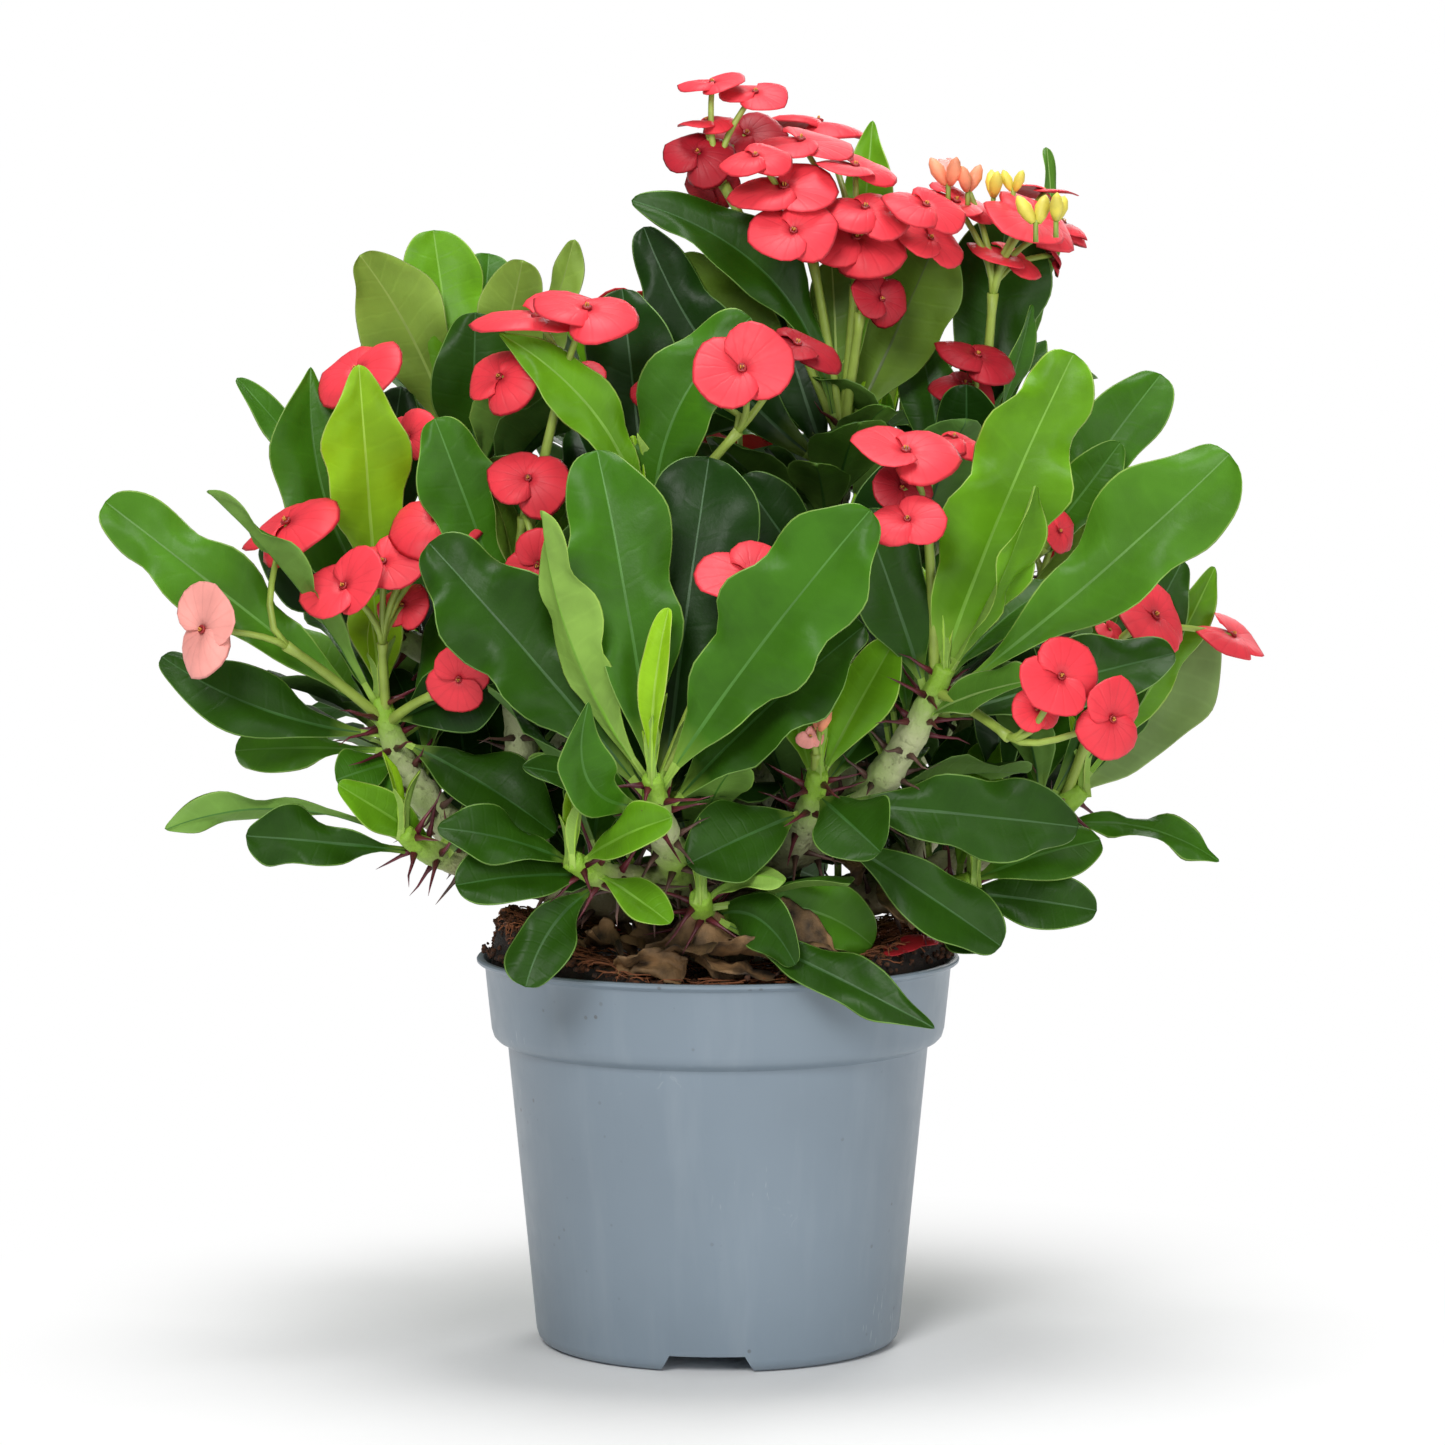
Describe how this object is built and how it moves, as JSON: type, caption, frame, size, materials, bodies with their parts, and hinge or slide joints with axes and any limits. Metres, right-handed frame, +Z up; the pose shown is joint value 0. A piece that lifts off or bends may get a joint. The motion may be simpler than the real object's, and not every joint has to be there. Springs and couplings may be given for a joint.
{
  "type": "potted crown of thorns",
  "caption": "Small branching thorny succulent shrub with broad leaves and red bracts, standing in a round tapered nursery pot.",
  "frame": {"origin": "centre of the pot's flat underside, on the ground", "axes": "+Z up along the pot's axis; the pictured front faces -Y; +X is to the right in the picture"},
  "size_m": [0.3925, 0.3364, 0.4493],
  "materials": {
    "pot_plastic": "satin",
    "peat": "crumbly and matte",
    "bark": "rough",
    "foliage": "satin"
  },
  "bodies": {
    "root": {"pot": "pot_plastic", "soil": "peat", "trunk": "bark", "bough_front": "bark", "bough_front_low": "bark", "bough_left": "bark", "bough_left_low": "bark", "bough_mid_left": "bark", "bough_left_back": "bark", "bough_centre": "bark", "bough_centre_bottom": "bark", "bough_crown": "bark", "bough_top_left": "bark", "bough_left_up": "bark", "bough_right": "bark", "bough_right_mid": "bark", "bough_mid_right": "bark", "bough_right_low": "bark", "bough_right_bottom": "bark", "bough_far_right": "bark", "bough_right_up": "bark", "bough_back": "bark", "bough_back_low": "bark", "bough_back_left": "bark", "bough_back_right": "bark", "bough_back_top": "bark", "bough_back_crown": "bark", "leaves_front": "foliage", "leaves_front_low": "foliage", "leaves_left": "foliage", "leaves_left_low": "foliage", "leaves_mid_left": "foliage", "leaves_left_back": "foliage", "leaves_centre": "foliage", "leaves_centre_bottom": "foliage", "leaves_crown": "foliage", "leaves_top_left": "foliage", "leaves_left_up": "foliage", "leaves_right": "foliage", "leaves_right_mid": "foliage", "leaves_mid_right": "foliage", "leaves_right_low": "foliage", "leaves_right_bottom": "foliage", "leaves_far_right": "foliage", "leaves_right_up": "foliage", "leaves_back": "foliage", "leaves_back_low": "foliage", "leaves_back_left": "foliage", "leaves_back_right": "foliage", "leaves_back_top": "foliage", "leaves_back_crown": "foliage"}
  },
  "joints": []
}
